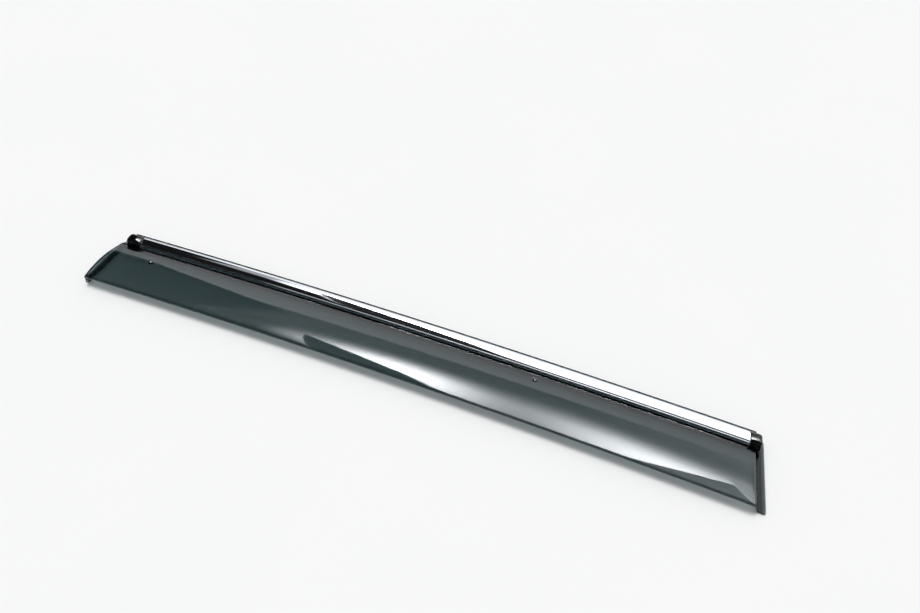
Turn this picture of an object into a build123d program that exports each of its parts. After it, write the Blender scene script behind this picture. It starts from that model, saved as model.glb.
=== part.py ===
"""Window rain deflector for a rear side door, lying on its mounting rim with its crowned face up.

X runs along the part with the front end at -X, Y runs from the free lower edge to the trimmed upper
edge, and Z points up, away from the door. Every long piece follows one flat arch: its section in the
YZ plane is carried round an upright axis far below the lower edge.
"""
import os
from collections import namedtuple
from math import asin, atan2, cos, degrees, hypot, radians, sin, tan

from build123d import *

# Overall sizes of the visor, in millimetres and degrees
face_length = 850.0
face_depth = 78.0
arch_rise = 7.4
lower_edge_height = 16.0
joint_height = 9.6
crown_rise = 6.5
wall = 2.5
end_wall = 1.2
lip_chamfer = 1.6

# Ends: rake is how far an end line leans to the front, seen from above, draft the lean of the wall
front_rake = 1.7
front_draft = 6.0
front_rail_width = 7.5
front_seal_width = 5.9
front_foot_radius = 5.0
front_corner_radius = 20.0
rear_rake = 13.3
rear_draft = 17.0
rear_rail_width = 11.9
rear_seal_width = 5.0
rear_foot_radius = 2.0
rear_corner_radius = 3.0
foot_setback = 4.0

# Mounting rim, tape and seals under it
rim_thickness = 2.5
tape_thickness = 1.2
tape_width = 12.0
seal_margin = 0.6
tape_end_gap = 3.0

# Trim strip along the upper edge, in a channel between the face and a low rib
trim_gap = 1.0
trim_ledge = 1.3
trim_front_height = 4.2
trim_front_drop = 0.8
trim_front_radius = 2.7
trim_foot_setback = 5.0
trim_top_width = 9.2
trim_top_crown = 0.3
trim_back_radius = 1.0
trim_wall = 1.5
trim_tape_thickness = 0.8
trim_tape_margin = 1.0
rib_thickness = 1.8
rib_clearance = 0.2
rib_drop = 0.2
rib_end_gap = 6.0

# End caps of the trim: how far each stands inside or outside the face's end, and its length
front_cap_inset = 6.5
front_cap_length = 20.0
rear_cap_overhang = 8.0
rear_cap_length = 12.5
cap_wall = 0.7
cap_top_wall = 1.2
cap_clearance = 0.15
cap_end_wall = 2.0
cap_front_radius = 4.0
cap_back_radius = 2.2
cap_end_radius = 1.0

# Clip rivets: place along X and distance down from the joint with the trim
rivet_places = ((-364.0, 23.7), (158.5, 14.0))
rivet_head_diameter = 6.6
rivet_head_rise = 1.5
rivet_shank_diameter = 3.4
rivet_foot_diameter = 5.6
rivet_foot_thickness = 1.0
rivet_play = 0.1

# Heights and depths that follow from the sizes above
rim_bottom = tape_thickness
rim_top = rim_bottom + rim_thickness
trim_front = face_depth + trim_gap
trim_base = rim_top + trim_tape_thickness
trim_ledge_height = joint_height + trim_front_height
trim_skirt = joint_height - trim_front_drop
trim_foot = trim_front + trim_foot_setback
trim_top = trim_ledge_height + trim_front_radius
trim_flat_start = trim_front + trim_ledge + trim_front_radius
trim_back = trim_flat_start + trim_top_width + trim_back_radius
rib_front = trim_back + cap_wall + rib_clearance
rib_top = trim_top - rib_drop
flange_back = rib_front + rib_thickness
reach = 5.0 * wall

# The two ends: side is -1 at the front and 1 at the rear
End = namedtuple("End", "side rake draft rail_width seal_width foot_radius corner_radius cap_outward "
                        "cap_length")
front = End(-1, radians(front_rake), radians(front_draft), front_rail_width, front_seal_width,
            front_foot_radius, front_corner_radius, -front_cap_inset, front_cap_length)
rear = End(1, radians(rear_rake), radians(rear_draft), rear_rail_width, rear_seal_width,
           rear_foot_radius, rear_corner_radius, rear_cap_overhang, rear_cap_length)

# The arch: radius of the lower edge seen from above, and the axis that it turns about
arch_radius = (face_length**2 / 4 + arch_rise**2) / (2 * arch_rise)
arch_axis = Axis((0, -arch_radius, 0), (0, 0, 1))
arch_half_angle = degrees(asin((face_length + face_depth) / 2 / arch_radius))

# The crown: one arc from the lower edge to the joint with the trim, in the section
chord = hypot(face_depth, lower_edge_height - joint_height)
chord_tilt = atan2(lower_edge_height - joint_height, face_depth)
crown_radius = (chord**2 / 4 + crown_rise**2) / (2 * crown_rise)
crown_half_angle = asin(chord / 2 / crown_radius)
crown_center_y = face_depth / 2 - (crown_radius - crown_rise) * sin(chord_tilt)
crown_center_z = (lower_edge_height + joint_height) / 2 - (crown_radius - crown_rise) * cos(chord_tilt)


def crown_point(angle, depth=0.0):
    """Point of the section at an angle from the crown's upright, a depth below the outer surface."""
    radius = crown_radius - depth
    return (0, crown_center_y + radius * sin(angle), crown_center_z + radius * cos(angle))


def crown_arc(start, end, depth=0.0):
    """Arc of the section between two angles, a depth below the outer surface."""
    middle = (start + end) / 2
    return ThreePointArc(crown_point(start, depth), crown_point(middle, depth), crown_point(end, depth))


def carried(section):
    """Carry a face in the YZ plane round the arch axis, past both ends of the part."""
    start = section.rotate(arch_axis, -arch_half_angle)
    return revolve(start, axis=arch_axis, revolution_arc=2 * arch_half_angle)


def end_plane(end, outward=0.0, lean=0.0):
    """Plane of an end, moved outward from the face's lower corner, leaning out towards its foot."""
    facing = Vector(cos(end.rake), sin(end.rake), 0) * end.side
    normal = facing * cos(lean) + Vector(0, 0, sin(lean))
    corner = Vector(end.side * face_length / 2, -arch_rise, lower_edge_height)
    return Plane(origin=corner + facing * outward, z_dir=normal)


def between_ends(solid, front_outward, rear_outward, drafted=False):
    """Cut a carried solid off at both ends."""
    for end, outward in ((front, front_outward), (rear, rear_outward)):
        plane = end_plane(end, outward, end.draft if drafted else 0.0)
        solid = split(solid, bisect_by=plane, keep=Keep.BOTTOM)
    return solid


def rectangle(y_low, y_high, z_low, z_high):
    """Rectangular face in the YZ plane."""
    corners = [(0, y_low, z_low), (0, y_high, z_low), (0, y_high, z_high), (0, y_low, z_high)]
    return make_face(Polyline(*corners, close=True))


# Visor: crowned face, end walls and rim, moulded in one piece
lower_angle = chord_tilt - crown_half_angle
joint_angle = chord_tilt + crown_half_angle
riser_angle = asin((face_depth - end_wall - crown_center_y) / (crown_radius - wall))

lip_top = crown_point(lower_angle)
lip_bottom = crown_point(lower_angle, wall)
joint = crown_point(joint_angle)
fill_outline = [
    crown_arc(lower_angle, joint_angle),
    Polyline(joint, (0, face_depth, rim_bottom), (0, foot_setback, rim_bottom), lip_bottom, lip_top),
]
fill_section = make_face(fill_outline)
lip_corner = fill_section.vertices().sort_by_distance(lip_top)[0]
fill_section = chamfer(lip_corner, lip_chamfer)

void_outline = [
    crown_arc(lower_angle, riser_angle, wall),
    Polyline(
        crown_point(riser_angle, wall),
        (0, face_depth - end_wall, -reach),
        (0, -reach, -reach),
        (0, -reach, lip_bottom[2]),
        lip_bottom,
    ),
]
void = between_ends(carried(make_face(void_outline)), -end_wall, -end_wall, drafted=True)

shell = between_ends(carried(fill_section), 0, 0, drafted=True)
plate_section = rectangle(foot_setback, flange_back, rim_bottom, rim_top)
plate = between_ends(carried(plate_section), front.rail_width, rear.rail_width)
uprights = plate.edges().filter_by(Axis.Z).sort_by(Axis.X)
plate_corners = []
for end, pair in ((front, uprights[:2]), (rear, uprights[-2:])):
    foot_edge, back_edge = pair.sort_by(Axis.Y)
    plate_corners.append((foot_edge.center(), end.foot_radius))
    plate_corners.append((back_edge.center(), end.corner_radius))
for corner, radius in plate_corners:
    plate = fillet(plate.edges().filter_by(Axis.Z).sort_by_distance(corner)[0], radius)
rib_section = rectangle(rib_front, flange_back, rim_bottom, rib_top)
rib = between_ends(carried(rib_section), front.cap_outward - rib_end_gap, rear.cap_outward - rib_end_gap)
visor = shell + plate + rib - void

# Clip rivets: a domed head outside, a shank through the face and a flat foot inside
head_radius = rivet_head_diameter / 2
dome_radius = (head_radius**2 + rivet_head_rise**2) / (2 * rivet_head_rise)
dome = Pos(0, 0, rivet_head_rise - dome_radius) * Sphere(dome_radius)
rivet_head = split(dome, bisect_by=Plane.XY, keep=Keep.TOP)
foot_top = -wall - rivet_play
rivet_shank = Pos(0, 0, foot_top / 2) * Cylinder(rivet_shank_diameter / 2, -foot_top)
foot_middle = foot_top - rivet_foot_thickness / 2
rivet_foot = Pos(0, 0, foot_middle) * Cylinder(rivet_foot_diameter / 2, rivet_foot_thickness)
rivet_shape = rivet_head + rivet_shank + rivet_foot
hole_shape = Cylinder(rivet_shank_diameter / 2 + rivet_play, 4 * wall)

rivets = []
for along, drop in rivet_places:
    depth = face_depth - drop
    angle = asin((depth - crown_center_y) / crown_radius)
    seat = Plane(origin=crown_point(angle), x_dir=(1, 0, 0), z_dir=(0, sin(angle), cos(angle)))
    turn = -degrees(asin(along / (arch_radius + depth)))
    visor = visor - (seat * hole_shape).rotate(arch_axis, turn)
    rivets.append((seat * rivet_shape).rotate(arch_axis, turn))

# Trim strip: hollow moulding on a narrower foot, its front hung over the joint with the face, with a
# ledge, a rounded front, a crowned top and a rounded back
top_rear = trim_flat_start + trim_top_width
ledge_rear = trim_front + trim_ledge
quarter = cos(radians(45))
trim_outline = [
    Polyline(
        (0, trim_back, trim_top - trim_back_radius),
        (0, trim_back, trim_base),
        (0, trim_foot, trim_base),
        (0, trim_foot, trim_skirt),
        (0, trim_front, trim_skirt),
        (0, trim_front, trim_ledge_height),
        (0, ledge_rear, trim_ledge_height),
    ),
    ThreePointArc(
        (0, ledge_rear, trim_ledge_height),
        (0, trim_flat_start - trim_front_radius * quarter, trim_top - trim_front_radius * (1 - quarter)),
        (0, trim_flat_start, trim_top),
    ),
    ThreePointArc(
        (0, trim_flat_start, trim_top),
        (0, (trim_flat_start + top_rear) / 2, trim_top + trim_top_crown),
        (0, top_rear, trim_top),
    ),
    ThreePointArc(
        (0, top_rear, trim_top),
        (0, top_rear + trim_back_radius * quarter, trim_top - trim_back_radius * (1 - quarter)),
        (0, trim_back, trim_top - trim_back_radius),
    ),
]
trim_section = make_face(trim_outline)
trim_hollow = offset(trim_section, -trim_wall)
trim_end_gap = cap_end_wall + cap_clearance
trim_ends = (front.cap_outward - trim_end_gap, rear.cap_outward - trim_end_gap)
trim_strip = between_ends(carried(trim_section - trim_hollow), *trim_ends)

trim_tape_section = rectangle(trim_foot + trim_tape_margin, trim_back - trim_tape_margin, rim_top, trim_base)
trim_tape = between_ends(carried(trim_tape_section), *trim_ends)

# End caps: open-bottomed sleeves over the strip's ends, closed by an end wall
cap_front = trim_front - cap_wall
cap_foot = trim_foot - cap_wall
cap_skirt = trim_skirt - cap_wall
cap_back = trim_back + cap_wall
cap_top = trim_top + trim_top_crown + cap_clearance + cap_top_wall
cap_outline = [(cap_foot, rim_top), (cap_foot, cap_skirt), (cap_front, cap_skirt), (cap_front, cap_top),
               (cap_back, cap_top), (cap_back, rim_top)]
cap_section = make_face(Polyline(*[(0, y, z) for y, z in cap_outline], close=True))
for corner_y, corner_radius in ((cap_front, cap_front_radius), (cap_back, cap_back_radius)):
    corner = cap_section.vertices().sort_by_distance((0, corner_y, cap_top))[0]
    cap_section = fillet(corner, corner_radius)
tape_slot = rectangle(trim_foot - cap_clearance, trim_back + cap_clearance, rim_top, trim_base)
cavity_section = offset(trim_section, cap_clearance) + tape_slot


def straight_run(section, end):
    """Straight bar of a section, tangent to the arch where the trim ends."""
    trim_middle = (trim_front + trim_back) / 2
    along = end.side * face_length / 2 - tan(end.rake) * (trim_middle + arch_rise)
    turn = -degrees(asin(along / (arch_radius + trim_middle)))
    return extrude(section, amount=3 * end.cap_length, both=True).rotate(arch_axis, turn)


def trim_cap(end):
    """Cap at one end, closed and rounded off outside."""
    outer_plane = end_plane(end, end.cap_outward)
    mouth_plane = end_plane(end, end.cap_outward - end.cap_length)
    cap = split(straight_run(cap_section, end), bisect_by=outer_plane, keep=Keep.BOTTOM)
    cap = split(cap, bisect_by=mouth_plane, keep=Keep.TOP)
    end_face = cap.faces().sort_by(Axis(outer_plane.origin, outer_plane.z_dir))[-1]
    rim_edges = [edge for edge in end_face.edges() if edge.bounding_box().max.Z > cap_skirt + cap_wall]
    cap = fillet(rim_edges, cap_end_radius)
    cavity_plane = end_plane(end, end.cap_outward - cap_end_wall)
    return cap - split(straight_run(cavity_section, end), bisect_by=cavity_plane, keep=Keep.BOTTOM)


# Tape under the flange and seals under the rails
tape_middle = (trim_front + trim_back) / 2
tape_section = rectangle(tape_middle - tape_width / 2, tape_middle + tape_width / 2, 0, tape_thickness)
tape_ends = -wall - tape_end_gap
mounting_tape = between_ends(carried(tape_section), tape_ends, tape_ends)


def end_seal(end):
    """Foam strip under one rail, just outside the rail's inner edge."""
    wall_flare = (lower_edge_height - rim_bottom) * tan(end.draft)
    inner_side = wall_flare - end_wall + seal_margin
    outer_plane = end_plane(end, inner_side + end.seal_width)
    inner_plane = end_plane(end, inner_side)
    section = rectangle(foot_setback + end.foot_radius, flange_back - end.corner_radius, 0, tape_thickness)
    seal = split(carried(section), bisect_by=outer_plane, keep=Keep.BOTTOM)
    return split(seal, bisect_by=inner_plane, keep=Keep.TOP)


pieces = {
    "visor": visor,
    "trim_strip": trim_strip,
    "trim_tape": trim_tape,
    "trim_cap_front": trim_cap(front),
    "trim_cap_rear": trim_cap(rear),
    "clip_rivets": Compound(rivets),
    "mounting_tape": mounting_tape,
    "end_seal_front": end_seal(front),
    "end_seal_rear": end_seal(rear),
}

# The origin is the middle of the part's box, on the surface that it lies on
box = Compound(list(pieces.values())).bounding_box()
to_origin = Pos(-box.center().X, -box.center().Y, -box.min.Z)

os.makedirs("parts", exist_ok=True)
for name, piece in pieces.items():
    export_step(to_origin * piece, f"parts/{name}.step")
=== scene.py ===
"""Window rain deflector lying face up on a pale table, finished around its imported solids.

Sizes are in millimetres until a mesh is made. X runs along the part from its front end, Y from the
free lower edge to the trimmed upper edge, and Z points up.
"""
from collections import namedtuple

import bpy
import numpy as np
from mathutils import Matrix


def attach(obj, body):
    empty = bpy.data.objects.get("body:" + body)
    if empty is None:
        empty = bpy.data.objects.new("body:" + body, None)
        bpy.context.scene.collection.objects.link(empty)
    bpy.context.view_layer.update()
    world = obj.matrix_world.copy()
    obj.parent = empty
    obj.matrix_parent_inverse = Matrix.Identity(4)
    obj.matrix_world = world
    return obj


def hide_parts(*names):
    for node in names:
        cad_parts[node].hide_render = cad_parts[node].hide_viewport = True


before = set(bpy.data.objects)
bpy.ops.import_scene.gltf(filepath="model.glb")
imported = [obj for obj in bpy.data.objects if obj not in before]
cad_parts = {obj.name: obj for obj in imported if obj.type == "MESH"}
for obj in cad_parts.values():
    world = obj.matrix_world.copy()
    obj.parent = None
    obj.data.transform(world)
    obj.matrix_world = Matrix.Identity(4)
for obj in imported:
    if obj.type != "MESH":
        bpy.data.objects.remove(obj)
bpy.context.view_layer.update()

# Visor: the smoked cover that stands over the gap of an open side window. It is injection moulded
# from tinted acrylic in one piece: a crowned face with a rounded, thicker lip, two thin, drafted end
# walls, a thin riser behind the face, a flat rim and a low rib that shuts the trim's channel.
MM = 0.001
face_length = 850.0
face_depth = 78.0
arch_rise = 7.4
lower_edge_height = 16.0
joint_height = 9.6
crown_rise = 6.5
wall = 2.5
end_wall = 1.2
tail_start = 62.0
tail_flare_start = 10.0
tail_flare = 0.009
lip_round = 2.0
lip_arc_start = np.radians(-140)
lip_swell_depth = 2.2
lip_swell_width = 2.0
row_evenness = 0.4
edge_round = 0.8
joint_round = 0.35
inner_round = 0.6
roll_fade = 12.0
foot_setback = 4.0
rim_top = 3.7
flange_back = 95.9
rib_front = 94.1
rib_top = 16.3
rib_softness = 0.4
rib_root = 0.3
rib_end_gap = 6.0
visor_crease = np.radians(38)
edge_along = -0.54
edge_across = -44.44

# The two ends: side, rake and draft, widths of the rail and the seal, the rail's corners, the cap's place
End = namedtuple("End", "side rake draft rail_width seal_width foot_radius corner_radius cap_outward "
                        "cap_length")
front_end = End(-1, np.radians(1.7), np.radians(6.0), 7.5, 5.9, 5.0, 20.0, -6.5, 20.0)
rear_end = End(1, np.radians(13.3), np.radians(17.0), 11.9, 5.0, 2.0, 3.0, 8.0, 12.5)

arch_radius = (face_length**2 / 4 + arch_rise**2) / (2 * arch_rise)
chord = np.hypot(face_depth, lower_edge_height - joint_height)
chord_tilt = np.arctan2(lower_edge_height - joint_height, face_depth)
crown_radius = (chord**2 / 4 + crown_rise**2) / (2 * crown_rise)
crown_depth = face_depth / 2 - (crown_radius - crown_rise) * np.sin(chord_tilt)
crown_height = (lower_edge_height + joint_height) / 2 - (crown_radius - crown_rise) * np.cos(chord_tilt)


def across_arch(along, depth):
    """Where a line at a depth behind the lower edge lies across the part: on a circle round the arch."""
    return np.sqrt((arch_radius + depth) ** 2 - along**2) - arch_radius


def end_along(end, depth, outward):
    """Where an end plane crosses the arched line at a depth. The plane leans by the end's rake and stands
    outward from the lower corner; a few rounds settle it, because the arch drops towards the ends."""
    along = end.side * face_length / 2 + 0.0 * depth
    for _ in range(4):
        lean = np.tan(end.rake) * (across_arch(along, depth) + arch_rise)
        along = end.side * (face_length / 2 + outward / np.cos(end.rake)) - lean
    return along


def placed(along, depth, height):
    """Points in the part's frame, in metres, from places along the arch, depths and heights."""
    along, depth, height = np.broadcast_arrays(along, depth, height)
    return np.stack([along + edge_along, across_arch(along, depth) + edge_across, height], -1) * MM


def carried(station, depth, height, front_outward, rear_outward):
    """Points carried along the arch: station 0 is on the front end plane, 1 on the rear one, and X goes
    evenly between them."""
    front = end_along(front_end, depth, front_outward)
    rear = end_along(rear_end, depth, rear_outward)
    return placed(front + (rear - front) * station, depth, height)


def quads(index):
    """Four-cornered faces between neighbours in a grid of point numbers, facing column step x row step."""
    corners = [index[:-1, :-1], index[:-1, 1:], index[1:, 1:], index[1:, :-1]]
    return np.stack(corners, -1).reshape(-1, 4)


def ring_faces(count, around, start=0):
    """Faces of stacked rings, each closed on itself, with the first and last ring filled."""
    index = start + np.arange(count * around).reshape(count, around)
    closed = np.concatenate([index, index[:, :1]], axis=1)
    return quads(closed).tolist() + [index[0, ::-1].tolist(), index[-1].tolist()]


def draft_outward(end, height):
    """How far a drafted end wall stands outside the lower corner at a height: its drop times the draft."""
    return (lower_edge_height - height) * np.tan(end.draft)


def rail_outline(end, depth):
    """How far a rail's outline stands out at a depth: straight, with an arc at its foot and its back."""
    foot = np.clip(foot_setback + end.foot_radius - depth, 0, end.foot_radius)
    back = np.clip(depth - flange_back + end.corner_radius, 0, end.corner_radius)
    foot_loss = end.foot_radius - np.sqrt(end.foot_radius**2 - foot**2)
    back_loss = end.corner_radius - np.sqrt(end.corner_radius**2 - back**2)
    return end.rail_width - foot_loss - back_loss


def face_section(depth_in, wall_in, joint_corner, crown_rows=64, lip_rows=12):
    """Depths and heights from the lip up to the riser: an arc depth_in below the crown, then its tangent,
    which a parabola lifts before the joint. The outer one starts with the lip's own arc, the inner one with
    a swell that thickens the lip by a bell curve, and both have closer rows at their ends."""
    radius = crown_radius - depth_in
    last = np.arcsin((face_depth - wall_in - joint_corner - crown_depth) / radius)
    if depth_in:
        lip_angle = np.zeros(0)
        first = np.arcsin((lip_round - crown_depth) / radius)
        crown_rows = crown_rows + lip_rows
    else:
        first = np.arcsin((lip_round - crown_depth) / (crown_radius - lip_round))
        lip_angle = np.linspace(lip_arc_start, first, lip_rows + 1)[:-1]
    even = np.linspace(0, 1, crown_rows)
    gathered = (1 - np.cos(np.pi * even)) / 2
    angle = first + (last - first) * (row_evenness * even + (1 - row_evenness) * gathered)
    lip_height = crown_height + (crown_radius - lip_round) * np.cos(first)
    depth = crown_depth + radius * np.sin(angle)
    straight = np.arcsin((tail_start - crown_depth) / crown_radius)
    past = np.maximum(depth - crown_depth - radius * np.sin(straight), 0)
    height = crown_height + radius * np.cos(np.minimum(angle, straight)) - past * np.tan(straight)
    height = height + tail_flare * np.maximum(past - tail_flare_start, 0) ** 2
    if depth_in:
        height = height - lip_swell_depth * np.exp(-(((depth - lip_round) / lip_swell_width) ** 2))
    lip_depth = lip_round * (1 + np.sin(lip_angle))
    return (np.concatenate([lip_depth, depth]),
            np.concatenate([lip_height + lip_round * np.cos(lip_angle), height]))


def visor_sheet(depth_in, wall_in, end_corner, joint_corner, across_count=230):
    """One side of the visor's wall, depth_in below the outer surface of the face and wall_in behind that of
    its upright walls: the face, and a skirt that rolls over its three closed edges, goes down the walls and
    out over the rim. The roll's radius fades from the ends' to the joint's ahead of the joint. It gives
    points, faces and the free border."""
    depth, height = face_section(depth_in, wall_in, joint_corner)
    station = np.linspace(0, 1, across_count + 1)
    fade = np.clip((face_depth - depth) / roll_fade, 0, 1)
    corner = joint_corner + (end_corner - joint_corner) * fade
    inset = wall_in + corner
    face = carried(station[None], depth[:, None], height[:, None],
                   (draft_outward(front_end, height) - inset)[:, None],
                   (draft_outward(rear_end, height) - inset)[:, None])
    face_index = np.arange(face[..., 0].size).reshape(face.shape[:2])

    # The skirt's columns run up the front edge, along the joint and down the rear edge
    last_row = len(depth) - 1
    rising = np.arange(last_row)
    rows = np.concatenate([rising, np.full(across_count + 1, last_row), rising[::-1]])
    columns = np.concatenate([0 * rising, np.arange(across_count + 1), 0 * rising + across_count])
    edge_index = face_index[rows, columns]
    run = np.concatenate([[0.0], np.cumsum(np.hypot(np.diff(depth), np.diff(height)))])
    share = run[rows] / run[-1]
    corner = corner[rows]
    joint = (rows == last_row) * corner

    # Rows of the roll, of the wall down to the rim, and of the rim out to its rounded outline
    turn = np.radians(np.linspace(0, 90, 8))[1:, None]
    drop = np.linspace(0, 1, 5)[1:, None]
    reach = np.array([0.25, 0.5, 0.75, 0.97, 1.0])[:, None]
    rim_height = rim_top - depth_in
    roll_depth = depth[rows] + joint * np.sin(turn)
    roll_height = height[rows] - corner * (1 - np.cos(turn))
    base_depth = foot_setback + (face_depth - wall_in - foot_setback) * share
    outer_depth = foot_setback + (flange_back - foot_setback) * share
    wall_depth = roll_depth[-1] + (base_depth - roll_depth[-1]) * drop
    wall_height = roll_height[-1] + (rim_height - roll_height[-1]) * drop
    rim_depth = base_depth + (outer_depth - base_depth) * reach
    skirt_depth = np.concatenate([roll_depth, wall_depth, rim_depth])
    skirt_height = np.concatenate([roll_height, wall_height, np.full_like(rim_depth, rim_height)])
    skirt_outward = []
    for end in (front_end, rear_end):
        roll = draft_outward(end, roll_height) - wall_in - corner * (1 - np.sin(turn))
        side_wall = draft_outward(end, wall_height) - wall_in
        rim = side_wall[-1] + (rail_outline(end, outer_depth) - side_wall[-1]) * reach
        skirt_outward.append(np.concatenate([roll, side_wall, rim]))
    skirt = carried(station[columns], skirt_depth, skirt_height, *skirt_outward)
    skirt_index = face_index.size + np.arange(skirt[..., 0].size).reshape(skirt.shape[:2])
    skirt_index = np.concatenate([edge_index[None], skirt_index])

    points = np.concatenate([face.reshape(-1, 3), skirt.reshape(-1, 3)])
    faces = np.concatenate([quads(face_index), quads(skirt_index)])
    border = np.concatenate([face_index[0], skirt_index[1:, -1], skirt_index[-1, -2::-1],
                             skirt_index[-2:0:-1, 0]])
    return points, faces, border


def linear(hex_colour):
    """Linear colour with alpha from an sRGB hex value: the power curve of sRGB, straight near black."""
    value = np.array([int(hex_colour[k:k + 2], 16) for k in (1, 3, 5)]) / 255
    curved = np.where(value <= 0.04045, value / 12.92, ((value + 0.055) / 1.055) ** 2.4)
    return (*curved.tolist(), 1.0)


def add_node(tree, kind, inputs=None, **settings):
    """Add a node with its settings. An input that is given a socket is linked, any other is set."""
    node = tree.nodes.new(kind)
    for name, value in settings.items():
        setattr(node, name, value)
    for name, value in (inputs or {}).items():
        if isinstance(value, bpy.types.NodeSocket):
            tree.links.new(value, node.inputs[name])
        else:
            node.inputs[name].default_value = value
    return node


def new_material(name):
    """An empty material and its node tree."""
    material = bpy.data.materials.new(name)
    material.use_nodes = True
    material.node_tree.nodes.clear()
    return material, material.node_tree


def smoked_acrylic():
    """Polished smoked acrylic, moulded: clear gloss outside, green-grey dye that darkens with the way the
    light takes through it, and a faint unevenness of the polish."""
    material, tree = new_material("smoked_acrylic")
    place = add_node(tree, "ShaderNodeTexCoord").outputs["Object"]
    polish_patch = 45.0
    patches = add_node(tree, "ShaderNodeTexNoise", {"Vector": place, "Scale": 1 / (polish_patch * MM)})
    gloss = add_node(tree, "ShaderNodeMapRange", {"Value": patches.outputs["Fac"], "To Min": 0.004,
                                                  "To Max": 0.03})
    surface = add_node(tree, "ShaderNodeBsdfPrincipled", {
        "Base Color": linear("#FFFFFF"), "Transmission Weight": 1.0, "IOR": 1.49,
        "Roughness": gloss.outputs["Result"]})
    dye = add_node(tree, "ShaderNodeVolumeAbsorption", {"Color": linear("#006B6F"), "Density": 520.0})
    add_node(tree, "ShaderNodeOutputMaterial", {"Surface": surface.outputs["BSDF"],
                                                "Volume": dye.outputs["Volume"]})
    return material


def new_piece(name, points, faces, material):
    """A smooth-shaded mesh object at the origin, made of an array of points and a list of faces."""
    mesh = bpy.data.meshes.new(name)
    mesh.from_pydata(np.reshape(points, (-1, 3)).tolist(), [], [list(face) for face in faces])
    mesh.materials.append(material)
    mesh.shade_smooth()
    piece = bpy.data.objects.new(name, mesh)
    bpy.context.scene.collection.objects.link(piece)
    return piece


def fitted(piece, node):
    """Let a piece stand for its solid: it goes on the part's one body, and the solid is hidden."""
    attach(piece, "root")
    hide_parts(node)


outer, outer_faces, outer_border = visor_sheet(0.0, 0.0, edge_round, joint_round)
inner, inner_faces, inner_border = visor_sheet(wall, end_wall, inner_round, inner_round)
inner_faces = inner_faces[:, ::-1] + len(outer)
rim_loop = np.stack([inner_border + len(outer), outer_border])
rim_loop = np.concatenate([rim_loop, rim_loop[:, :1]], axis=1)

rib_depth = np.array([flange_back, flange_back, flange_back - rib_softness, rib_front + rib_softness,
                      rib_front, rib_front])
rib_height = np.array([rim_top - rib_root, rib_top - rib_softness, rib_top, rib_top,
                       rib_top - rib_softness, rim_top - rib_root])
rib = carried(np.linspace(0, 1, 161)[:, None], rib_depth[None], rib_height[None],
              front_end.cap_outward - rib_end_gap, rear_end.cap_outward - rib_end_gap)
rib_faces = ring_faces(*rib.shape[:2], len(outer) + len(inner))

visor_points = np.concatenate([outer, inner, rib.reshape(-1, 3)])
visor_faces = np.concatenate([outer_faces, inner_faces, quads(rim_loop)]).tolist() + rib_faces
visor = new_piece("visor_cover", visor_points, visor_faces, smoked_acrylic())
visor.data.set_sharp_from_angle(angle=visor_crease)
fitted(visor, "visor")

# Clip rivets: two small steel rivets through the face, below the trim, plated with black nickel. Each has
# a domed, polished head outside, a shank through the wall and a flat foot set against the inside.
rivet_places = ((-364.0, 23.7), (158.5, 14.0))
rivet_head_radius = 3.3
rivet_head_rise = 1.5
rivet_head_rim = 0.3
rivet_head_softness = 0.1
rivet_dome_angles = np.radians((78, 4))
rivet_shank_radius = 1.7
rivet_foot_radius = 2.8
rivet_foot_thickness = 1.0
rivet_foot_chamfer = 0.3
rivet_foot_pole = 0.4
rivet_play = 0.1
rivet_crease = np.radians(50)


def lathe(radius, height, around=48):
    """Points of a turned shape about its own upright axis: each profile point is carried round a circle."""
    turn = np.linspace(0, 2 * np.pi, around, endpoint=False)
    ring = np.stack([np.cos(turn), np.sin(turn), np.zeros(around)], -1)
    points = ring[None] * radius[:, None, None]
    points[..., 2] = height[:, None]
    return points


def rivet_points(along, drop):
    """One rivet from its foot up: a disc, a shank and a head whose dome is an arc over a low upright rim,
    set square to the crown at its place along the arch."""
    dome = np.linspace(*rivet_dome_angles, 9)
    dome_radius = rivet_head_radius * np.sin(dome) / np.sin(dome[0])
    dome_share = (np.cos(dome) - np.cos(dome[0])) / (1 - np.cos(dome[0]))
    dome_height = rivet_head_rim + (rivet_head_rise - rivet_head_rim) * dome_share
    foot_top = -wall - rivet_play
    foot_base = foot_top - rivet_foot_thickness
    radius = [rivet_foot_pole, rivet_foot_radius - rivet_foot_chamfer, rivet_foot_radius, rivet_foot_radius,
              rivet_shank_radius, rivet_shank_radius, rivet_head_radius - rivet_head_softness,
              rivet_head_radius]
    height = [foot_base, foot_base, foot_base + rivet_foot_chamfer, foot_top, foot_top, 0.0, 0.0,
              rivet_head_softness]
    profile_radius = np.concatenate([radius, dome_radius])
    profile_height = np.concatenate([height, dome_height])
    local = lathe(profile_radius, profile_height)
    depth = face_depth - drop
    angle = np.arcsin((depth - crown_depth) / crown_radius)
    out = local[..., 2] + crown_radius
    back = local[..., 1]
    section_depth = crown_depth + out * np.sin(angle) + back * np.cos(angle)
    section_height = crown_height + out * np.cos(angle) - back * np.sin(angle)
    return placed(along + local[..., 0], section_depth, section_height)


def black_nickel():
    """Black nickel on cold-headed, tumbled steel: a dark metal with a fine uneven polish."""
    material, tree = new_material("black_nickel_plate")
    place = add_node(tree, "ShaderNodeTexCoord").outputs["Object"]
    tumble_mark = 0.6
    marks = add_node(tree, "ShaderNodeTexNoise", {"Vector": place, "Scale": 1 / (tumble_mark * MM)})
    gloss = add_node(tree, "ShaderNodeMapRange", {"Value": marks.outputs["Fac"], "To Min": 0.06,
                                                  "To Max": 0.2})
    surface = add_node(tree, "ShaderNodeBsdfPrincipled", {
        "Base Color": linear("#595B5D"), "Metallic": 1.0, "Roughness": gloss.outputs["Result"]})
    add_node(tree, "ShaderNodeOutputMaterial", {"Surface": surface.outputs["BSDF"]})
    return material


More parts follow.
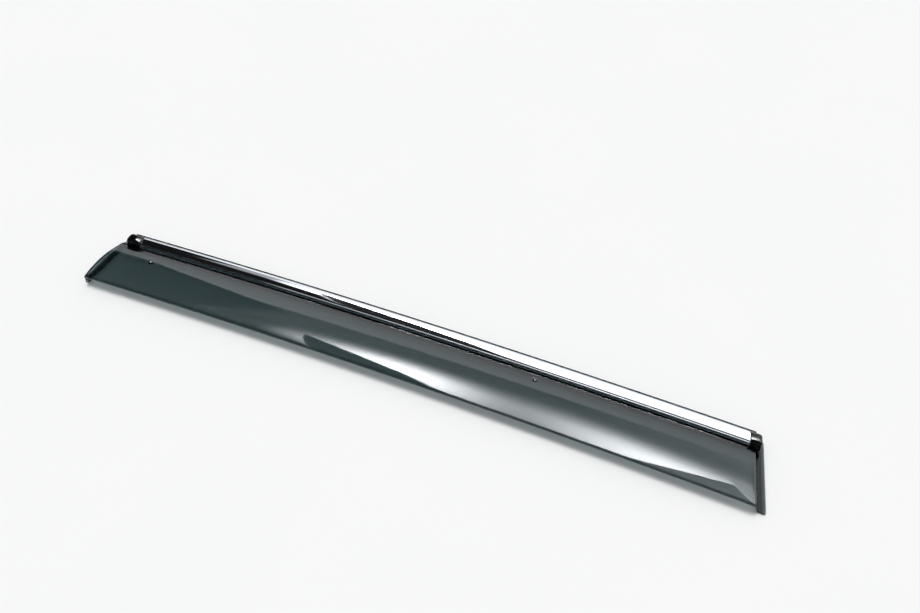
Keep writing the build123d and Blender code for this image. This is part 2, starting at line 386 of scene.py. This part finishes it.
rivet_rings = np.stack([rivet_points(along, drop) for along, drop in rivet_places])
rivet_faces = []
for number in range(len(rivet_places)):
    start = number * rivet_rings[0, ..., 0].size
    rivet_faces += ring_faces(rivet_rings.shape[1], rivet_rings.shape[2], start)
rivets = new_piece("clip_rivet_pair", rivet_rings, rivet_faces, black_nickel())
rivets.data.set_sharp_from_angle(angle=rivet_crease)
fitted(rivets, "clip_rivets")

# Trim tape: a strip of dark acrylic foam tape that bonds the bright trim to the flange behind the face.
# It is slit from a roll, so its cells show at the cut sides, which bulge a little where it is pressed on.
trim_front = 79.0
trim_foot = 84.0
trim_back = 93.2
trim_base = 4.5
trim_tape_margin = 1.0
tape_crease = np.radians(35)
trim_end_gap = 2.15
trim_ends = (front_end.cap_outward - trim_end_gap, rear_end.cap_outward - trim_end_gap)


def tape_bar(name, depth_low, depth_high, height_low, height_high, bar_ends, material, bulge=0.12):
    """A flat strip along the arch: a rectangle whose sides bulge by a parabola, closed at both ends."""
    side = np.linspace(-1, 1, 5)
    swell = bulge * (1 - side**2)
    middle = (height_low + height_high) / 2
    half = (height_high - height_low) / 2
    depth = np.concatenate([depth_high - bulge + swell, depth_low + bulge - swell])
    height = np.concatenate([middle + half * side, middle - half * side])
    points = carried(np.linspace(0, 1, 121)[:, None], depth[None], height[None], *bar_ends)
    return new_piece(name, points, ring_faces(*points.shape[:2]), material)


def foam(name, dark, light, cell):
    """Closed-cell foam: matt, nearly black, speckled by cut cells. The cells are about 0.1 mm across and
    are drawn coarser, so that they show."""
    material, tree = new_material(name)
    place = add_node(tree, "ShaderNodeTexCoord").outputs["Object"]
    cells = add_node(tree, "ShaderNodeTexVoronoi", {"Vector": place, "Scale": 1 / (cell * MM)})
    colour = add_node(tree, "ShaderNodeMix", {"Factor": cells.outputs["Distance"]}, data_type="RGBA")
    colour.inputs[6].default_value = linear(dark)
    colour.inputs[7].default_value = linear(light)
    pits = add_node(tree, "ShaderNodeBump", {"Height": cells.outputs["Distance"], "Strength": 0.5,
                                             "Distance": 0.1 * MM})
    surface = add_node(tree, "ShaderNodeBsdfPrincipled", {
        "Base Color": colour.outputs[2], "Roughness": 0.9, "IOR": 1.48, "Normal": pits.outputs["Normal"]})
    add_node(tree, "ShaderNodeOutputMaterial", {"Surface": surface.outputs["BSDF"]})
    return material


tape_foam = foam("acrylic_foam_tape", "#2C2C2E", "#4A4A4D", 0.5)
trim_tape = tape_bar("trim_bond_tape", trim_foot + trim_tape_margin, trim_back - trim_tape_margin,
                     rim_top, trim_base, trim_ends, tape_foam)
trim_tape.data.set_sharp_from_angle(angle=tape_crease)
fitted(trim_tape, "trim_tape")

# Trim strip: the bright moulding along the upper edge, extruded hollow in plastic and chrome plated.
# It stands on a narrow foot and hangs over the joint with the face. From there upwards it has an upright
# front, a narrow ledge, a bend, a facet, a top with a soft ridge near the back and a rounded back.
trim_skirt = 8.8
trim_ledge_height = 14.2
trim_ledge = 1.3
trim_bevel = 0.25
trim_back_radius = 1.0
trim_least_radius = 0.2
trim_top_bow = 0.5
trim_wall = 1.5
trim_crease = np.radians(30)

# Turns of its section, each as a depth and a height
trim_facet_front = (82.6, 15.45)
trim_front_turn = (84.6, 16.1)
trim_ridge = (89.5, 17.0)
trim_back_turn = (92.2, 16.36)


def trim_profile(inset):
    """Outline of the trim's section, moved inwards by an inset: straight runs, a quadratic curve that turns
    from upright into the front facet, a parabola that steepens from the ridge to that facet, a plain slope
    behind it and a quarter round at the back. It runs from the lower back corner round by the front."""
    quarter = np.radians(np.linspace(0, 90, 13))
    ledge_back = trim_front + trim_ledge + inset
    back_round = max(trim_back_radius - inset, trim_least_radius)
    depth = [trim_back - inset, trim_foot + inset, trim_foot + inset, trim_front + inset,
             trim_front + inset, trim_front + inset + trim_bevel]
    height = [trim_base + inset, trim_base + inset, trim_skirt + inset, trim_skirt + inset,
              trim_ledge_height - inset - trim_bevel, trim_ledge_height - inset]
    facet_wide, facet_high = np.subtract(trim_front_turn, trim_facet_front)
    front_wide = trim_facet_front[0] - ledge_back
    bend_height = trim_facet_front[1] - front_wide * facet_high / facet_wide
    bend = np.linspace(0, 1, 15)
    depth_front = ledge_back + front_wide * bend**2
    height_front = (trim_ledge_height * (1 - bend) ** 2 + 2 * bend_height * bend * (1 - bend)
                    + trim_facet_front[1] * bend**2) - inset
    ridge_rise = trim_ridge[1] - trim_front_turn[1]
    climb = np.linspace(0, 1, 17)[:-1]
    depth_top = trim_front_turn[0] + (trim_ridge[0] - trim_front_turn[0]) * climb
    height_top = trim_front_turn[1] - inset + ridge_rise * (1 + trim_top_bow * (1 - climb)) * climb
    fall = np.linspace(0, 1, 9)[:-1]
    depth_fall = trim_ridge[0] + (trim_back_turn[0] - trim_ridge[0]) * fall
    height_fall = trim_ridge[1] - inset + (trim_back_turn[1] - trim_ridge[1]) * fall
    depth_back = trim_back - inset - back_round * (1 - np.cos(quarter[::-1]))
    height_back = trim_back_turn[1] - inset - back_round * (1 - np.sin(quarter[::-1]))
    return (np.concatenate([depth, depth_front, depth_top, depth_fall, depth_back]),
            np.concatenate([height, height_front, height_top, height_fall, height_back]))


def chrome_plate():
    """Bright chrome on polished plastic: a mirror with the faint long draw lines of the extrusion."""
    material, tree = new_material("bright_chrome_plate")
    place = add_node(tree, "ShaderNodeTexCoord").outputs["Object"]
    line_spacing = 1.2
    line_stretch = 0.01
    stretched = add_node(tree, "ShaderNodeMapping", {"Vector": place, "Scale": (line_stretch, 1.0, 1.0)})
    lines = add_node(tree, "ShaderNodeTexNoise", {"Vector": stretched.outputs["Vector"],
                                                  "Scale": 1 / (line_spacing * MM)})
    gloss = add_node(tree, "ShaderNodeMapRange", {"Value": lines.outputs["Fac"], "To Min": 0.015,
                                                  "To Max": 0.07})
    surface = add_node(tree, "ShaderNodeBsdfPrincipled", {
        "Base Color": linear("#EAECF2"), "Metallic": 1.0, "Roughness": gloss.outputs["Result"]})
    add_node(tree, "ShaderNodeOutputMaterial", {"Surface": surface.outputs["BSDF"]})
    return material


trim_station = np.linspace(0, 1, 241)[:, None]
shell_depth, shell_height = trim_profile(0.0)
hollow_depth, hollow_height = trim_profile(trim_wall)
shell = carried(trim_station, shell_depth[None], shell_height[None], *trim_ends)
hollow = carried(trim_station, hollow_depth[None], hollow_height[None], *trim_ends)
shell_index = np.arange(shell[..., 0].size).reshape(shell.shape[:2])
shell_index = np.concatenate([shell_index, shell_index[:, :1]], axis=1)
hollow_index = shell_index + shell[..., 0].size
end_rings = [np.stack([hollow_index[0], shell_index[0]]), np.stack([shell_index[-1], hollow_index[-1]])]
trim_faces = np.concatenate([quads(shell_index), quads(hollow_index)[:, ::-1], *map(quads, end_rings)])
trim_strip = new_piece("bright_trim_strip", np.concatenate([shell, hollow]), trim_faces.tolist(),
                       chrome_plate())
trim_strip.data.set_sharp_from_angle(angle=trim_crease)
fitted(trim_strip, "trim_strip")

# Trim caps: gloss black sleeves, moulded in ABS, pushed over the trim's cut ends. The outer end is closed
# and rounded off, and the bottom edge sits on the flange.
cap_wall = 0.7
cap_end_wall = 2.0
cap_shoulder = 13.9
cap_peak = 19.1
cap_square = 2.6
cap_end_radius = 2.4
cap_end_inset = 1.0
cap_roll_gap = 0.5
cap_blind_inset = 2.0
cap_mouth_softness = 0.1
cap_taper_depth = 1.5
cap_taper_length = 8.0
cap_taper_power = 1.15
cap_crease = np.radians(40)


def cap_profile(inset, drop):
    """Outline of the sleeve's section, moved inwards by an inset and lowered on top by a drop: a back, a
    pillow top that is half a superellipse, and a front that steps back over the joint to the foot."""
    turn = np.linspace(0, np.pi, 41)
    front = trim_front - cap_wall + inset
    foot = trim_foot - cap_wall + inset
    back = trim_back + cap_wall - inset
    skirt = trim_skirt - cap_wall + inset
    across = np.sign(np.cos(turn)) * np.abs(np.cos(turn)) ** (2 / cap_square)
    lift = np.sin(turn) ** (2 / cap_square)
    depth = np.concatenate([[back], (back + front) / 2 + (back - front) / 2 * across, [front, foot, foot]])
    height = np.concatenate([[rim_top], cap_shoulder + (cap_peak - inset - drop - cap_shoulder) * lift,
                             [skirt, skirt, rim_top]])
    return depth, height


def cap_points(end):
    """Rings of one cap, from the blind end of its hollow to its mouth, over the mouth's edge and along the
    outside to the rounded end: each ring is the section at its own inset and distance from the end.
    Outside, the top falls towards the mouth by a power curve that is nearly straight."""
    roll = np.radians(np.linspace(0, 90, 13))
    mouth = end.cap_length
    hollow_inset = [cap_wall + cap_blind_inset, cap_wall, cap_wall]
    outside = np.linspace(mouth - cap_mouth_softness, cap_end_radius + cap_roll_gap, 17)
    inset = np.concatenate([hollow_inset, [cap_mouth_softness], 0 * outside,
                            cap_end_radius * (1 - np.cos(roll)), [cap_end_radius + cap_end_inset]])
    inward = np.concatenate([[cap_end_wall, cap_end_wall, mouth, mouth], outside,
                             cap_end_radius * (1 - np.sin(roll)), [0.0]])
    fall = np.clip((inward - mouth) / cap_taper_length + 1, 0, 1)
    drop = cap_taper_depth * fall**cap_taper_power
    drop[:len(hollow_inset)] = cap_taper_depth
    outline = [cap_profile(*values) for values in zip(inset, drop)]
    depth = np.array([line[0] for line in outline])
    height = np.array([line[1] for line in outline])
    along = end_along(end, depth, end.cap_outward - inward[:, None])
    return placed(along, depth, height)


def gloss_black():
    """Moulded black ABS from a polished tool: deep black, wet gloss, with a faint flow mark."""
    material, tree = new_material("gloss_black_abs")
    place = add_node(tree, "ShaderNodeTexCoord").outputs["Object"]
    flow_mark = 4.0
    flow = add_node(tree, "ShaderNodeTexNoise", {"Vector": place, "Scale": 1 / (flow_mark * MM)})
    gloss = add_node(tree, "ShaderNodeMapRange", {"Value": flow.outputs["Fac"], "To Min": 0.04,
                                                  "To Max": 0.12})
    surface = add_node(tree, "ShaderNodeBsdfPrincipled", {
        "Base Color": linear("#0B0B0C"), "IOR": 1.53, "Roughness": gloss.outputs["Result"]})
    add_node(tree, "ShaderNodeOutputMaterial", {"Surface": surface.outputs["BSDF"]})
    return material


cap_black = gloss_black()
for end, end_name in ((front_end, "front"), (rear_end, "rear")):
    rings = cap_points(end)
    cap_faces = ring_faces(*rings.shape[:2])
    cap_faces = [face[::-1] for face in cap_faces] if end.side > 0 else cap_faces
    cap = new_piece(f"trim_end_cap_{end_name}", rings, cap_faces, cap_black)
    cap.data.set_sharp_from_angle(angle=cap_crease)
    fitted(cap, f"trim_cap_{end_name}")

# Mounting tape: the foam tape under the flange that sticks the deflector to the painted door frame. It
# is the same acrylic foam as the trim's tape, slit wider and thicker.
tape_width = 12.0
tape_thickness = 1.2
tape_end_gap = 3.0
tape_middle = (trim_front + trim_back) / 2
tape_ends = (-wall - tape_end_gap, -wall - tape_end_gap)
mounting_tape = tape_bar("door_mounting_tape", tape_middle - tape_width / 2, tape_middle + tape_width / 2,
                         0.0, tape_thickness, tape_ends, tape_foam)
mounting_tape.data.set_sharp_from_angle(angle=tape_crease)
fitted(mounting_tape, "mounting_tape")

# End seals: black closed-cell foam strips stuck under the two end rails, which keep the rails off the
# paint and close the gap beside the glass.
seal_margin = 0.6
seal_crease = np.radians(35)


def seal_points(end, bulge=0.15):
    """A flat strip under one rail: a rectangle with bulging sides, carried from the foot to the flange."""
    edge = np.linspace(-1, 1, 5)
    swell = bulge * (1 - edge**2)
    inner_side = draft_outward(end, tape_thickness) - end_wall + seal_margin
    outer_side = inner_side + end.seal_width
    outward = np.concatenate([outer_side - bulge + swell, inner_side + bulge - swell])
    height = tape_thickness / 2 * (1 + np.concatenate([edge, -edge]))
    strip_depth = np.linspace(foot_setback + end.foot_radius, flange_back - end.corner_radius, 41)
    depth = strip_depth[:, None] + 0.0 * outward
    return placed(end_along(end, depth, outward[None]), depth, height[None])


seal_foam = foam("black_foam_seal", "#141414", "#262627", 0.6)
for end, end_name in ((front_end, "front"), (rear_end, "rear")):
    strip = seal_points(end)
    strip_faces = ring_faces(*strip.shape[:2])
    strip_faces = [face[::-1] for face in strip_faces] if end.side > 0 else strip_faces
    seal = new_piece(f"rail_foam_seal_{end_name}", strip, strip_faces, seal_foam)
    seal.data.set_sharp_from_angle(angle=seal_crease)
    fitted(seal, f"end_seal_{end_name}")

# Table: a wide sheet of matt white paper that the deflector lies on. It is laid flat and is only there
# for the picture, so it stands for no solid.
table_width = 6000.0


def table_paper():
    """White paper: matt, with a wide mottle that is too faint to see from a step away."""
    material, tree = new_material("white_paper")
    place = add_node(tree, "ShaderNodeTexCoord").outputs["Object"]
    mottle_patch = 300.0
    mottle = add_node(tree, "ShaderNodeTexNoise", {"Vector": place, "Scale": 1 / (mottle_patch * MM)})
    shade = add_node(tree, "ShaderNodeMix", {"Factor": mottle.outputs["Fac"]}, data_type="RGBA")
    shade.inputs[6].default_value = linear("#F4F5F5")
    shade.inputs[7].default_value = linear("#F7F7F7")
    surface = add_node(tree, "ShaderNodeBsdfPrincipled", {
        "Base Color": shade.outputs[2], "Roughness": 0.9, "Specular IOR Level": 0.0})
    add_node(tree, "ShaderNodeOutputMaterial", {"Surface": surface.outputs["BSDF"]})
    return material


corner_signs = np.array([(-1, -1, 0), (1, -1, 0), (1, 1, 0), (-1, 1, 0)])
table = new_piece("table", corner_signs * table_width / 2 * MM, [[0, 1, 2, 3]], table_paper())

# Studio: a soft dome, brightest overhead, lights the table. The gloss mirrors a room instead, with its
# places on a level plane one metre up: two soft lamps in a haze, two cards that cut their light off, a
# dark left side and pale walls all round. The camera sees plain white, as the gloss does at the horizon.
dome_glow = 0.39
overhead_lamp = ((0.0, 0.05), (0.17, 0.17), 0.0, 12.2)
left_lamp = ((-0.385, 0.358), (0.065, 0.172), 0.058, 34.0)
right_lamp = ((-0.047, 0.222), (0.083, 0.251), 0.238, 27.5)
lamp_haze = (0.55, 1.15)
haze_reach = (-0.35, 0.05)
black_card_tip = (-0.524, 0.497)
black_card_bend = (-0.36, 0.317)
black_card_edges = ((-0.315, 0.213), (-0.471, 0.212))
black_card_blur = (0.01, 0.002)
black_card_glow = 0.02
grey_card_tip = (-0.005, 0.447)
grey_card_edges = ((-0.052, 0.345), (0.009, 0.228))
grey_card_blur = (0.006, 0.004)
grey_card_glow = 1.6
corner_glow = 5.0
lit_from = (-0.15, 0.05)
left_lit_from = (0.18, 0.38)
left_lit_blur = 0.004
wall_rise = 0.524
wall_blur = 0.0125
wall_glow = (0.3, 1.6)
front_wall_reach = (-0.3, 0.3)
front_wall_glow = 0.15
dark_side_edges = (((-0.773, 1.19), (-0.628, 0.539)), ((-1.668, 2.19), (-0.788, 1.19)))
dark_side_blur = 0.03
dark_side_rise = (0.28, 0.36)
dark_glow = 0.008
low_side_edge = ((-0.575, 0.6), (-0.50, 0.0))
low_side_blur = 0.02
low_side_stop = (0.65, 0.55)
dim_strip_edge = ((-0.63, 0.2), (-0.655, 0.7))
dim_strip_blur = 0.015
dim_strip_from = (0.2, 0.34)
dim_strip_glow = 0.4
horizon_rise = (0.1, 0.2)
least_rise = 0.03

world = bpy.data.worlds.new("studio_room")
bpy.context.scene.world = world
world.use_nodes = True
room = world.node_tree
room.nodes.clear()


def calculated(operation, *values):
    """Result of a math node on numbers or sockets."""
    return add_node(room, "ShaderNodeMath", dict(enumerate(values)), operation=operation).outputs["Value"]


def eased(value, start, stop, before=0.0, after=1.0):
    """A smooth step of a value, from before to after between start and stop."""
    return add_node(room, "ShaderNodeMapRange", {"Value": value, "From Min": start, "From Max": stop,
                                                 "To Min": before, "To Max": after},
                    interpolation_type="SMOOTHSTEP").outputs["Result"]


def blend(share, before, after):
    """Mix of two strengths."""
    return add_node(room, "ShaderNodeMix", {0: share, 2: before, 3: after}).outputs[0]


toward = add_node(room, "ShaderNodeTexCoord").outputs["Generated"]
rise = add_node(room, "ShaderNodeSeparateXYZ", {"Vector": toward}).outputs["Z"]
level_scale = calculated("DIVIDE", 1.0, calculated("MAXIMUM", rise, least_rise))
level = add_node(room, "ShaderNodeVectorMath", {0: toward, "Scale": level_scale},
                 operation="SCALE").outputs["Vector"]


def lamp(centre, width, turn, peak):
    """Soft lamp on the level plane: a peak times the bell curve of the distance in widths."""
    local = add_node(room, "ShaderNodeMapping", {
        "Vector": level, "Location": (*centre, 1.0), "Rotation": (0.0, 0.0, turn), "Scale": (*width, 1.0)},
        vector_type="TEXTURE").outputs["Vector"]
    square = add_node(room, "ShaderNodeVectorMath", {0: local, 1: local}, operation="DOT_PRODUCT")
    bell = calculated("EXPONENT", calculated("MULTIPLY", square.outputs["Value"], -0.5))
    return calculated("MULTIPLY", bell, peak)


def right_of(start, stop, blur):
    """One on the right of the line from start to stop on the level plane, zero on its left, with a smooth
    step that reaches as far as the blur on either side."""
    step = np.subtract(stop, start)
    normal = np.array([step[1], -step[0]]) / np.hypot(*step)
    plane = (*normal.tolist(), float(-normal @ np.array(start)))
    distance = add_node(room, "ShaderNodeVectorMath", {0: level, 1: plane}, operation="DOT_PRODUCT")
    return eased(distance.outputs["Value"], -blur, blur)


# The lamps, in a haze that grows to the right
level_parts = add_node(room, "ShaderNodeSeparateXYZ", {"Vector": level}).outputs
sideways = level_parts["X"]
ahead = level_parts["Y"]
haze = eased(sideways, *haze_reach, *lamp_haze)
lamps = calculated("ADD", calculated("ADD", lamp(*left_lamp), lamp(*right_lamp)), haze)

# The two cards, and the corner on the right of the grey one, where the lamps are dimmer
black_card = calculated("MULTIPLY", right_of(black_card_tip, black_card_bend, black_card_blur[0]),
                        right_of(black_card_bend, black_card_edges[0], black_card_blur[0]))
black_card = calculated("MULTIPLY", black_card,
                        right_of(black_card_edges[1], black_card_tip, black_card_blur[1]))
high = blend(black_card, lamps, black_card_glow)
grey_card = calculated("MULTIPLY", right_of(grey_card_edges[0], grey_card_tip, grey_card_blur[0]),
                       right_of(grey_card_tip, grey_card_edges[1], grey_card_blur[1]))
high = blend(grey_card, high, grey_card_glow)
right_corner = right_of(grey_card_edges[1], grey_card_tip, grey_card_blur[1])
high = blend(right_corner, high, calculated("MINIMUM", high, corner_glow))

# The dark part near the camera, which goes further back on the left of the black card
left_of_card = right_of(black_card_tip, black_card_edges[1], left_lit_blur)
lit_ahead = blend(left_of_card, eased(ahead, *lit_from), eased(ahead, *left_lit_from))
high = blend(lit_ahead, dark_glow, high)

# The walls, the dark left side with a dim strip in its near part, and the white horizon
back_wall = add_node(room, "ShaderNodeMapRange", {
    "Value": rise, "From Max": wall_rise, "To Min": wall_glow[0], "To Max": wall_glow[1]}).outputs["Result"]
low = blend(eased(ahead, *front_wall_reach), front_wall_glow, back_wall)
glow = blend(eased(rise, wall_rise - wall_blur, wall_rise + wall_blur), low, high)
dark_side = calculated("MULTIPLY", *(right_of(*edge, dark_side_blur) for edge in dark_side_edges))
low_side = calculated("MULTIPLY", right_of(*low_side_edge, low_side_blur), eased(ahead, *low_side_stop))
dark_side = calculated("MULTIPLY", calculated("MAXIMUM", dark_side, low_side),
                       eased(rise, *dark_side_rise))
dim_strip = calculated("MULTIPLY", right_of(*dim_strip_edge, dim_strip_blur), eased(ahead, *dim_strip_from))
glow = blend(dark_side, glow, blend(dim_strip, dark_glow, dim_strip_glow))
glow = blend(eased(rise, *horizon_rise), 1.0, glow)

# The dome lights what is matt, the room shines in what is glossy, and the rest sees white
dome = calculated("ADD", lamp(*overhead_lamp), dome_glow)
ray = add_node(room, "ShaderNodeLightPath")
seen = calculated("MAXIMUM", ray.outputs["Is Camera Ray"], ray.outputs["Is Transmission Ray"])
strength = blend(seen, blend(ray.outputs["Is Glossy Ray"], dome, glow), 1.0)
tint = add_node(room, "ShaderNodeMix", {"Factor": ray.outputs["Is Glossy Ray"]}, data_type="RGBA")
tint.inputs[6].default_value = linear("#FFFFFF")
tint.inputs[7].default_value = linear("#FAFCFF")
sky = add_node(room, "ShaderNodeBackground", {"Color": tint.outputs[2], "Strength": strength})
add_node(room, "ShaderNodeOutputWorld", {"Surface": sky.outputs["Background"]})
bpy.context.scene.view_settings.view_transform = "Standard"

# Camera: held a step in front of the right-hand end and looking down along the part. Its place is in
# metres and its turn in degrees, and the lens follows from a focal length in pixels of the picture.
camera_place = (0.39601, -0.71781, 0.85654)
camera_turn = (46.597, 0.0, 24.261)
picture_width = 920
focal_pixels = 1000
camera_data = bpy.data.cameras.new("camera")
camera_data.sensor_fit = "HORIZONTAL"
camera_data.sensor_width = 36.0
camera_data.lens = focal_pixels / picture_width * camera_data.sensor_width
camera = bpy.data.objects.new("camera", camera_data)
camera.location = camera_place
camera.rotation_euler = np.radians(camera_turn)
bpy.context.scene.collection.objects.link(camera)
bpy.context.scene.camera = camera
